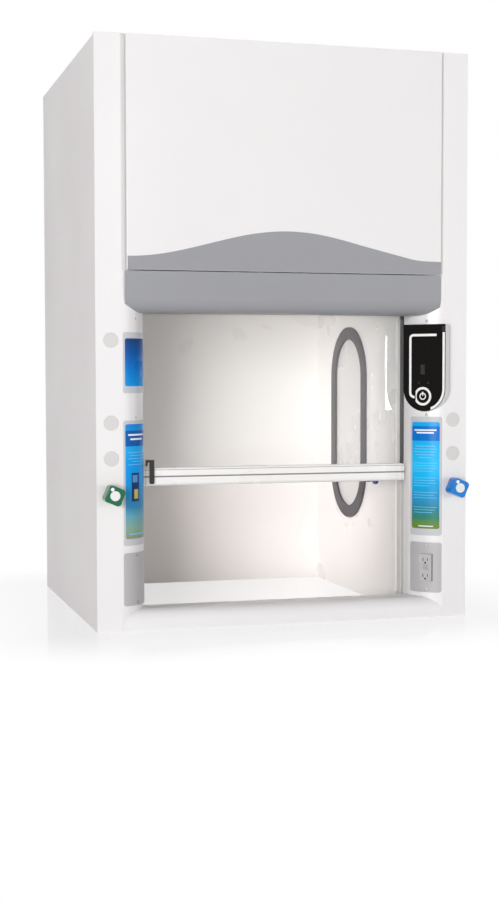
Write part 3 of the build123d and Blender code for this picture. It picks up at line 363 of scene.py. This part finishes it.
def bowRun(tree, place, hand, direction):
    # how far a place lies from the middle of a bowed face, along a direction, in millimetres
    away = addNode(tree, "ShaderNodeVectorMath", operation="SUBTRACT")
    connect(tree, place, away.inputs[0])
    away.inputs[1].default_value = (hand * bowMiddle.x, bowMiddle.y, 0.0)
    run = addNode(tree, "ShaderNodeVectorMath", operation="DOT_PRODUCT")
    connect(tree, away.outputs[0], run.inputs[0])
    run.inputs[1].default_value = (hand * direction.x / mm, direction.y / mm, 0.0)
    return run.outputs["Value"]


def bowPlace(tree, hand):
    # U across the bowed face, towards the outer edge of the hood, and V up, both in millimetres
    place = addNode(tree, "ShaderNodeTexCoord").outputs["Object"]
    rise = addNode(tree, "ShaderNodeSeparateXYZ")
    connect(tree, place, rise.inputs[0])
    return bowRun(tree, place, hand, bowAlong), maths(tree, "MULTIPLY", rise.outputs["Z"], 1 / mm)


softEdge = 0.3  # width over which a printed edge fades, in millimetres


def roundFieldAt(tree, u, v, low, high, corner, edge):
    # a round-cornered field given by its lower and upper corner
    made = useGroup(tree, roundField, U=u, V=v, Corner=corner, Edge=edge)
    made.inputs["Middle U"].default_value = (low[0] + high[0]) / 2
    made.inputs["Middle V"].default_value = (low[1] + high[1]) / 2
    made.inputs["Half U"].default_value = (high[0] - low[0]) / 2
    made.inputs["Half V"].default_value = (high[1] - low[1]) / 2
    return made


def field(tree, u, v, low, high, corner=1.0, edge=softEdge):
    return roundFieldAt(tree, u, v, low, high, corner, edge).outputs["Mask"]


def disc(tree, u, v, middle, radius, edge):
    low = (middle[0] - radius, middle[1] - radius)
    high = (middle[0] + radius, middle[1] + radius)
    return field(tree, u, v, low, high, radius, edge)


def ramp(tree, value, stops, low, high):
    # colours along a run from low to high
    spread = addNode(tree, "ShaderNodeMapRange")
    connect(tree, value, spread.inputs["Value"])
    spread.inputs["From Min"].default_value = low
    spread.inputs["From Max"].default_value = high
    colours = addNode(tree, "ShaderNodeValToRGB")
    band = colours.color_ramp
    while len(band.elements) < len(stops):
        band.elements.new(0.5)
    for element, (position, colour) in zip(band.elements, stops):
        element.position = position
        element.color = shade(colour)
    connect(tree, spread.outputs["Result"], colours.inputs["Fac"])
    return colours.outputs["Color"]


def millimetrePlace(tree):
    # the object's X, Y behind the front plane and Z, in millimetres
    place = addNode(tree, "ShaderNodeSeparateXYZ")
    connect(tree, addNode(tree, "ShaderNodeTexCoord").outputs["Object"], place.inputs[0])
    x = maths(tree, "MULTIPLY", place.outputs["X"], 1 / mm)
    y = maths(tree, "MULTIPLY", maths(tree, "SUBTRACT", place.outputs["Y"], frontY), 1 / mm)
    return x, y, maths(tree, "MULTIPLY", place.outputs["Z"], 1 / mm)


plugLook = {
    "post": (206, 204, 203),
    "liner": (232, 230, 228),
    "linerFrom": 200.0,  # depth from which a plug sits in a liner
    "skin": {**smoothSkinValues, "gloss": 0.4, "relief": 0.08},
}


def plugColour(tree):
    x, y, z = millimetrePlace(tree)
    inside = maths(tree, "GREATER_THAN", y, plugLook["linerFrom"])
    return blendColour(tree, inside, shade(plugLook["post"]), shade(plugLook["liner"]))


knobLook = {
    "axis": (422.5, 318.0),  # across and up, in millimetres
    "dot": (-6.0, 14.8),
    "dotRadius": 4.2,
    "dotEdge": 0.4,
    "front": -44.0,  # the dot lies in front of this depth
    "green": (4, 98, 64),
    "blue": (2, 122, 206),
    "mark": (235, 238, 240),
    "skin": {**smoothSkinValues, "drift": 0.05, "gloss": 0.16, "coat": 0.2, "shine": 0.3},
}


def knobColour(hand, colour):
    def make(tree):
        x, y, z = millimetrePlace(tree)
        middle = (hand * knobLook["axis"][0] + knobLook["dot"][0], knobLook["axis"][1] + knobLook["dot"][1])
        dot = disc(tree, x, z, middle, knobLook["dotRadius"], knobLook["dotEdge"])
        face = maths(tree, "LESS_THAN", y, knobLook["front"])
        mark = maths(tree, "MULTIPLY", dot, face)
        return blendColour(tree, mark, shade(colour), shade(knobLook["mark"]))

    return make


handleLook = {
    "colour": (236, 234, 232),
    "dark": (150, 148, 147),
    "halfLength": 400.0,
    "groove": (349.4, 352.8),  # heights of the painted shade line in the groove
    "lip": (366.4, 367.8),
    "lineCorner": 0.2,
    "lineEdge": 0.6,
    "seam": (323.9, 325.1),  # end-cap seams, from the middle
    "seamHeights": (320.0, 380.0),
    "seamEdge": 0.4,
    "seamStrength": 0.7,
    "front": 92.0,  # the lines lie in front of this depth
    "skin": {**smoothSkinValues, "drift": 0.02},
}


def handleColour(tree):
    x, y, z = millimetrePlace(tree)
    half, corner = handleLook["halfLength"], handleLook["lineCorner"]
    # painted shade lines in the groove and along the lip, and faint dark end-cap seams
    lines = []
    for low, high in (handleLook["groove"], handleLook["lip"]):
        lines.append(field(tree, x, z, (-half, low), (half, high), corner, handleLook["lineEdge"]))
    low, high = zip(handleLook["seam"], handleLook["seamHeights"])
    seam = field(tree, maths(tree, "ABSOLUTE", x), z, low, high, corner, handleLook["seamEdge"])
    faint = maths(tree, "MULTIPLY", seam, handleLook["seamStrength"])
    dark = maths(tree, "MAXIMUM", maths(tree, "MAXIMUM", *lines), faint)
    face = maths(tree, "LESS_THAN", y, handleLook["front"])
    mark = maths(tree, "MULTIPLY", dark, face)
    return blendColour(tree, mark, shade(handleLook["colour"]), shade(handleLook["dark"]))


socketLook = {
    "colour": (184, 183, 184),
    "dark": (26, 26, 28),
    "shadeBelow": 2.3,  # height over the bow under which the receptacle is painted dark as shade, in the slots and in a thin line round its foot
    "skin": {**smoothSkinValues, "drift": 0.02, "gloss": 0.28},
}


def socketColour(tree):
    place = addNode(tree, "ShaderNodeTexCoord").outputs["Object"]
    # painted shade in the slots and round the receptacle's foot
    below = maths(tree, "LESS_THAN", bowRun(tree, place, 1, bowOut), socketLook["shadeBelow"])
    return blendColour(tree, below, shade(socketLook["colour"]), shade(socketLook["dark"]))


give(finished("plugPlastic", plugColour, plugLook["skin"]), "hole_plugs")
give(finished("knobGreen", knobColour(-1, knobLook["green"]), knobLook["skin"]), "left_knob")
give(finished("knobBlue", knobColour(1, knobLook["blue"]), knobLook["skin"]), "right_knob")
give(finished("handleWhite", handleColour, handleLook["skin"]), "sash_handle")
give(finished("socketGrey", socketColour, socketLook["skin"]), "receptacle")


plateLook = {"skin": {**smoothSkinValues, "shine": 0.12}, "fieldCorner": 5.0, "barCorner": 0.6}


def printedPlate(name, hand, design):
    # a printed field with bars and blocks on a pale plate
    def make(tree):
        u, v = bowPlace(tree, hand)
        low, high = design["field"]
        colour = blendColour(
            tree,
            field(tree, u, v, low, high, plateLook["fieldCorner"]),
            shade(design["plate"]),
            ramp(tree, v, design["stops"], low[1], high[1]),
        )
        for corners, tint in design["bars"]:
            bar = field(tree, u, v, *corners, plateLook["barCorner"])
            colour = blendColour(tree, bar, colour, shade(tint))
        return colour

    return finished(name, make, plateLook["skin"])


def textBars(top, pitch, thick, widths, tint):
    # short bars that stand for lines of print, from the top down
    rows = []
    for step, (start, end) in enumerate(widths):
        level = top - step * pitch
        rows.append((((start, level - thick), (end, level)), tint))
    return rows


paleBar = (112, 196, 240)
whiteBar = (240, 246, 250)
upperDesign = {
    "plate": (196, 199, 205),
    "field": ((-36.0, 566.0), (41.0, 676.0)),
    "stops": [
        (0.0, (6, 148, 224)),
        (0.2, (4, 132, 215)),
        (0.43, (3, 110, 198)),
        (0.67, (4, 88, 166)),
        (0.88, (14, 72, 138)),
        (1.0, (28, 60, 112)),
    ],
    "bars": [],
}
leftDesign = {
    "plate": (196, 198, 202),
    "field": ((-33.0, 213.6), (41.0, 479.0)),
    "stops": [
        (0.0, (137, 148, 128)),
        (0.04, (138, 162, 124)),
        (0.1, (130, 169, 154)),
        (0.19, (102, 166, 185)),
        (0.28, (48, 134, 178)),
        (0.5, (10, 150, 226)),
        (0.65, (2, 154, 238)),
        (0.76, (32, 168, 236)),
        (1.0, (14, 137, 222)),
    ],
    "bars": [(((-33.0, 428.0), (41.0, 464.0)), (4, 90, 170))]
    + textBars(456.0, 10.0, 4.0, [(-24.0, 34.0), (-16.0, 28.0)], whiteBar)
    + textBars(
        414.0,
        7.0,
        1.6,
        [(-26.0, 34.0), (-26.0, 30.0), (-26.0, 34.0), (-26.0, 22.0), (-26.0, 34.0)],
        paleBar,
    )
    + [
        (((-1.0, 300.0), (25.0, 366.0)), (22, 52, 104)),
        (((3.0, 306.0), (17.0, 328.0)), (196, 186, 96)),
        (((5.0, 344.0), (22.0, 361.0)), (84, 148, 206)),
    ]
    + textBars(226.0, 7.0, 3.0, [(-24.0, 32.0)], paleBar),
}
rightDesign = {
    "plate": (196, 198, 202),
    "field": ((-32.0, 214.6), (40.0, 476.0)),
    "stops": [
        (0.0, (112, 132, 60)),
        (0.05, (98, 140, 62)),
        (0.1, (56, 130, 110)),
        (0.17, (48, 130, 140)),
        (0.27, (44, 145, 194)),
        (0.41, (12, 170, 228)),
        (0.6, (32, 192, 250)),
        (0.78, (30, 178, 238)),
        (1.0, (14, 170, 238)),
    ],
    "bars": [(((-32.0, 430.0), (40.0, 466.0)), (4, 114, 204))]
    + textBars(458.0, 6.5, 3.6, [(-24.0, 33.0), (-18.0, 27.0)], whiteBar)
    + textBars(
        418.0,
        7.0,
        2.0,
        [(-22.0, 30.0), (-26.0, 34.0), (-24.0, 31.0), (-20.0, 28.0), (-12.0, 20.0)],
        paleBar,
    )
    + textBars(376.0, 6.5, 1.3, [(-26.0, 34.0), (-26.0, 31.0), (-26.0, 34.0), (-26.0, 24.0)], paleBar)
    + textBars(340.0, 6.5, 1.3, [(-26.0, 34.0), (-26.0, 30.0), (-26.0, 33.0), (-26.0, 16.0)], paleBar)
    + textBars(304.0, 6.5, 1.3, [(-26.0, 34.0), (-26.0, 28.0), (-26.0, 34.0)], paleBar)
    + textBars(268.0, 6.5, 1.3, [(-26.0, 34.0), (-26.0, 30.0), (-26.0, 24.0)], paleBar)
    + textBars(222.0, 7.0, 2.4, [(-12.0, 26.0)], whiteBar),
}
give(printedPlate("upperPlate", -1, upperDesign), "left_upper_plate")
give(printedPlate("leftPlate", -1, leftDesign), "left_decal_plate")
give(printedPlate("rightPlate", 1, rightDesign), "right_decal_plate")


glassLook = {
    "black": (10, 8, 7),
    "line": (244, 243, 240),
    "dim": (58, 52, 50),
    "gloss": 0.06,
    "shine": 0.1,
    "thick": 5.8,
    "windowCorner": 0.1,
    "everywhere": ((-100.0, 0.0), (100.0, 900.0)),
    "keyMiddle": (3.0, 539.0),
    "ringRadius": 22.5,
    "ringReach": 19.0,  # how far the ring goes from the key's middle towards the opening
    "signRadius": 8.6,
    "signThick": 2.6,
    "signBar": ((-1.2, 1.0), (1.2, 11.0)),  # from the key's middle
    "barCorner": 0.6,
    "frameLine": ((-33.5, 534.0), (140.0, 690.5)),
    "edgeLine": ((-47.7, 503.3), (60.7, 860.0)),
    "strokes": [  # the outline that a line follows, its corner and the window that keeps it
        ("frameLine", 11.0, ((-40.0, 600.0), (39.0, 700.0))),
        ("frameLine", 14.0, ((-40.0, 530.0), (-19.0, 640.0))),
        ("edgeLine", 54.1, ((24.0, 480.0), (70.0, 694.0))),
    ],
    "dimMarks": [
        ((53.0, 696.0), (62.0, 709.0)),
        ((-3.0, 592.0), (8.0, 616.0)),
        ((-9.0, 569.0), (-5.5, 574.0)),
        ((15.5, 569.0), (19.0, 574.0)),
    ],
    "dimCorner": 0.8,
}


def blackGlass(name, look):
    # gloss black with the panel's white line work
    material, tree, shader = newMaterial(name)
    u, v = bowPlace(tree, 1)

    def stroke(low, high, corner, thick, window):
        # a line just inside a rounded outline, kept where it crosses the window
        made = roundFieldAt(tree, u, v, low, high, corner, softEdge)
        middle = maths(tree, "ABSOLUTE", maths(tree, "ADD", made.outputs["Distance"], thick / 2))
        full = 0.5 + thick / (2 * softEdge)
        line = maths(tree, "SUBTRACT", full, maths(tree, "DIVIDE", middle, softEdge), True)
        return maths(tree, "MULTIPLY", line, field(tree, u, v, *window, look["windowCorner"]))

    keyU, keyV = look["keyMiddle"]

    def ring(radius, thick, window):
        low = (keyU - radius, keyV - radius)
        high = (keyU + radius, keyV + radius)
        return stroke(low, high, radius, thick, window)

    farLow, farHigh = look["everywhere"]
    bar = [(keyU + u0, keyV + v0) for u0, v0 in look["signBar"]]
    lines = [
        ring(look["ringRadius"], look["thick"], ((keyU - look["ringReach"], farLow[1]), farHigh)),
        ring(look["signRadius"], look["signThick"], (farLow, farHigh)),
        field(tree, u, v, *bar, look["barCorner"]),
    ]
    for outline, corner, window in look["strokes"]:
        lines.append(stroke(*look[outline], corner, look["thick"], window))
    mask = lines[0]
    for line in lines[1:]:
        mask = maths(tree, "MAXIMUM", mask, line)
    colour = blendColour(tree, mask, shade(look["black"]), shade(look["line"]))
    for corners in look["dimMarks"]:
        dimMask = field(tree, u, v, *corners, look["dimCorner"])
        colour = blendColour(tree, dimMask, colour, shade(look["dim"]))
    connect(tree, colour, shader.inputs["Base Color"])
    shader.inputs["Roughness"].default_value = look["gloss"]
    shader.inputs["Specular IOR Level"].default_value = look["shine"]
    return material


give(blackGlass("panelGlass", glassLook), "control_glass", "power_key")


def clearPane(name, settings):
    # clear glass that shadow and diffuse rays pass straight through
    material, tree, shader = newMaterial(name)
    shader.inputs["Base Color"].default_value = shade(settings["tint"])
    shader.inputs["Roughness"].default_value = settings["roughness"]
    shader.inputs["Transmission Weight"].default_value = 1.0
    shader.inputs["IOR"].default_value = settings["ior"]
    passage = addNode(tree, "ShaderNodeBsdfTransparent")
    passage.inputs[0].default_value = shade(settings["shadow"])
    light = addNode(tree, "ShaderNodeLightPath")
    either = maths(tree, "MAXIMUM", light.outputs["Is Shadow Ray"], light.outputs["Is Diffuse Ray"])
    mix = addNode(tree, "ShaderNodeMixShader")
    connect(tree, either, mix.inputs[0])
    connect(tree, shader.outputs[0], mix.inputs[1])
    connect(tree, passage.outputs[0], mix.inputs[2])
    connect(tree, mix.outputs[0], tree.nodes["Material Output"].inputs["Surface"])
    return material


paneLook = {"tint": (250, 252, 252), "roughness": 0.01, "ior": 1.45, "shadow": (250, 251, 251)}
give(clearPane("paneGlass", paneLook), "sash_glass")
print("materials given")


# small fittings on the liners
studLook = {
    "sides": 24,
    "radius": 5.0,
    "proud": 2.2,
    "chamfer": 1.2,
    "wall": 334.0,  # how far from the middle a stud's foot stands
    "places": [(325.0, 590.6), (325.0, 556.5), (289.0, 713.0), (528.0, 158.7)],  # depth and height
    "colour": (246, 246, 246),
    "skin": {**paintSkinValues, "drift": 0.02, "gloss": 0.3},
}


def makeStuds(settings):
    # white fixing studs on the inner faces of both side liners
    proud = settings["proud"] * mm
    deselectAll()
    bpy.ops.mesh.primitive_cylinder_add(
        vertices=settings["sides"], radius=settings["radius"] * mm, depth=proud
    )
    pattern = bpy.context.object
    bpy.ops.object.mode_set(mode="EDIT")
    bpy.ops.mesh.select_mode(type="FACE")
    bpy.ops.mesh.select_all(action="DESELECT")
    bpy.ops.object.mode_set(mode="OBJECT")
    for face in pattern.data.polygons:
        face.select = face.normal.z > 0.9  # the end that shows
    bpy.ops.object.mode_set(mode="EDIT")
    bpy.ops.mesh.inset(thickness=settings["chamfer"] * mm, depth=settings["chamfer"] * mm / 2)
    bpy.ops.object.mode_set(mode="OBJECT")
    pattern.data.materials.append(finished("studWhite", settings["colour"], settings["skin"]))
    for hand, side in ((-1, "left"), (1, "right")):
        turn = Matrix.Rotation(math.radians(-90.0 * hand), 4, "Y")
        for number, (back, up) in enumerate(settings["places"], 1):
            stud = bpy.data.objects.new(f"{side}_liner_stud_{number}", pattern.data.copy())
            bpy.context.scene.collection.objects.link(stud)
            place = Matrix.Translation((hand * (settings["wall"] * mm - proud / 2), depth(back), up * mm))
            stud.data.transform(place @ turn)
            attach(stud, "hood")
    bpy.data.objects.remove(pattern)


makeStuds(studLook)
print("studs made")


# stage, light and camera
stageLook = {
    "floorColour": (244, 244, 244),
    "floorSize": 40.0,
    "floorGloss": 0.05,
    "footprint": (460.0, 405.0),  # half sizes of the hood's foot, in millimetres
    "footMiddle": 402.5,  # depth of the foot's middle
    "footCorner": 20.0,
    "fade": 420.0,  # where the floor has gone fully white, in millimetres from the foot
    "whiteAtFoot": 0.58,
    "worldLight": 0.3,
    "worldTint": (255, 248, 248),
}


def seenRays(tree):
    # 1 for the camera's view of the backdrop, straight, mirrored or through glass
    light = addNode(tree, "ShaderNodeLightPath")
    seen = maths(tree, "MAXIMUM", light.outputs["Is Camera Ray"], light.outputs["Is Glossy Ray"])
    return maths(tree, "MAXIMUM", seen, light.outputs["Is Transmission Ray"])


def makeFloor(settings):
    deselectAll()
    bpy.ops.mesh.primitive_plane_add(size=settings["floorSize"], location=(0.0, 0.0, 0.0))
    floor = bpy.context.object
    floor.name = "floor"
    material, tree, shader = newMaterial("floorWhite")
    shader.inputs["Base Color"].default_value = shade(settings["floorColour"])
    shader.inputs["Roughness"].default_value = settings["floorGloss"]
    shader.inputs["Coat Weight"].default_value = 1.0
    place = addNode(tree, "ShaderNodeSeparateXYZ")
    connect(tree, addNode(tree, "ShaderNodeTexCoord").outputs["Object"], place.inputs[0])
    across = maths(tree, "MULTIPLY", place.outputs["X"], 1 / mm)
    along = maths(tree, "MULTIPLY", place.outputs["Y"], 1 / mm)
    foot = useGroup(tree, roundField, U=across, V=along, Corner=settings["footCorner"])
    foot.inputs["Half U"].default_value = settings["footprint"][0]
    foot.inputs["Half V"].default_value = settings["footprint"][1]
    foot.inputs["Middle V"].default_value = depth(settings["footMiddle"]) / mm
    spread = addNode(tree, "ShaderNodeMapRange", interpolation_type="SMOOTHSTEP")
    connect(tree, foot.outputs["Distance"], spread.inputs["Value"])
    spread.inputs["From Min"].default_value = 0.0
    spread.inputs["From Max"].default_value = settings["fade"]
    spread.inputs["To Min"].default_value = settings["whiteAtFoot"]
    amount = maths(tree, "MULTIPLY", seenRays(tree), spread.outputs["Result"])
    white = addNode(tree, "ShaderNodeEmission")
    mix = addNode(tree, "ShaderNodeMixShader")
    connect(tree, amount, mix.inputs[0])
    connect(tree, shader.outputs[0], mix.inputs[1])
    connect(tree, white.outputs[0], mix.inputs[2])
    connect(tree, mix.outputs[0], tree.nodes["Material Output"].inputs["Surface"])
    floor.data.materials.append(material)


def makeWorld(settings):
    world = bpy.data.worlds.new("studio")
    bpy.context.scene.world = world
    world.use_nodes = True
    tree = world.node_tree
    back = tree.nodes["Background"]
    light = [channel * settings["worldLight"] for channel in shade(settings["worldTint"])[:3]]
    colour = blendColour(tree, seenRays(tree), (*light, 1.0), (1.0, 1.0, 1.0, 1.0))
    connect(tree, colour, back.inputs["Color"])


lamps = {
    "key": {"place": (-3.4, -5.6, 1.0), "target": (0.0, 0.0, 0.6), "size": (2.6, 1.8), "power": 255.0},
    "fill": {"place": (4.4, -5.0, 0.8), "target": (0.0, 0.0, 0.6), "size": (2.0, 2.0), "power": 84.0},
    "strip": {
        "place": (1.38, -3.07, 0.6),
        "target": (0.2965, -0.2669, 0.6),
        "size": (0.03, 0.33),
        "power": 0.4,
    },
    "chamber": {
        "place": (-0.31, -0.2, 0.42),
        "target": (0.30, 0.26, 0.32),
        "size": (0.06, 0.7),
        "power": 1.15,
        "spread": 80.0,
        "colour": (1.0, 0.95, 0.94),
        "hidden": True,
    },
}


def makeLamps(settings):
    for name, lamp in settings.items():
        data = bpy.data.lights.new(name, "AREA")
        data.shape = "RECTANGLE"
        data.size, data.size_y = lamp["size"]
        data.energy = lamp["power"]
        data.color = lamp.get("colour", (1.0, 1.0, 1.0))
        data.spread = math.radians(lamp.get("spread", 180.0))
        holder = bpy.data.objects.new(name, data)
        bpy.context.scene.collection.objects.link(holder)
        holder.location = lamp["place"]
        aim = Vector(lamp["target"]) - holder.location
        holder.rotation_euler = aim.to_track_quat("-Z", "Y").to_euler()
        holder.visible_camera = False
        holder.visible_glossy = not lamp.get("hidden", False)
        holder.visible_transmission = not lamp.get("hidden", False)


cameraView = {
    "place": (-1.0557, -3.7744, 0.5911),
    "yaw": 15.80,
    "down": 2.85,
    "roll": -0.10,
    "lens": 60.152,
    "sensor": 36.0,
    "nearest": 0.05,
}


def makeCamera(settings):
    data = bpy.data.cameras.new("camera")
    data.lens = settings["lens"]
    data.sensor_width = settings["sensor"]
    data.clip_start = settings["nearest"]
    holder = bpy.data.objects.new("camera", data)
    bpy.context.scene.collection.objects.link(holder)
    yaw, down = math.radians(settings["yaw"]), math.radians(settings["down"])
    ahead = Vector((math.sin(yaw) * math.cos(down), math.cos(yaw) * math.cos(down), -math.sin(down)))
    turn = ahead.to_track_quat("-Z", "Y").to_matrix().to_4x4()
    roll = Matrix.Rotation(math.radians(settings["roll"]), 4, "Z")
    holder.matrix_world = Matrix.Translation(settings["place"]) @ turn @ roll
    bpy.context.scene.camera = holder


makeFloor(stageLook)
makeWorld(stageLook)
makeLamps(lamps)
makeCamera(cameraView)
bpy.context.scene.view_settings.view_transform = "Standard"
print("stage ready")
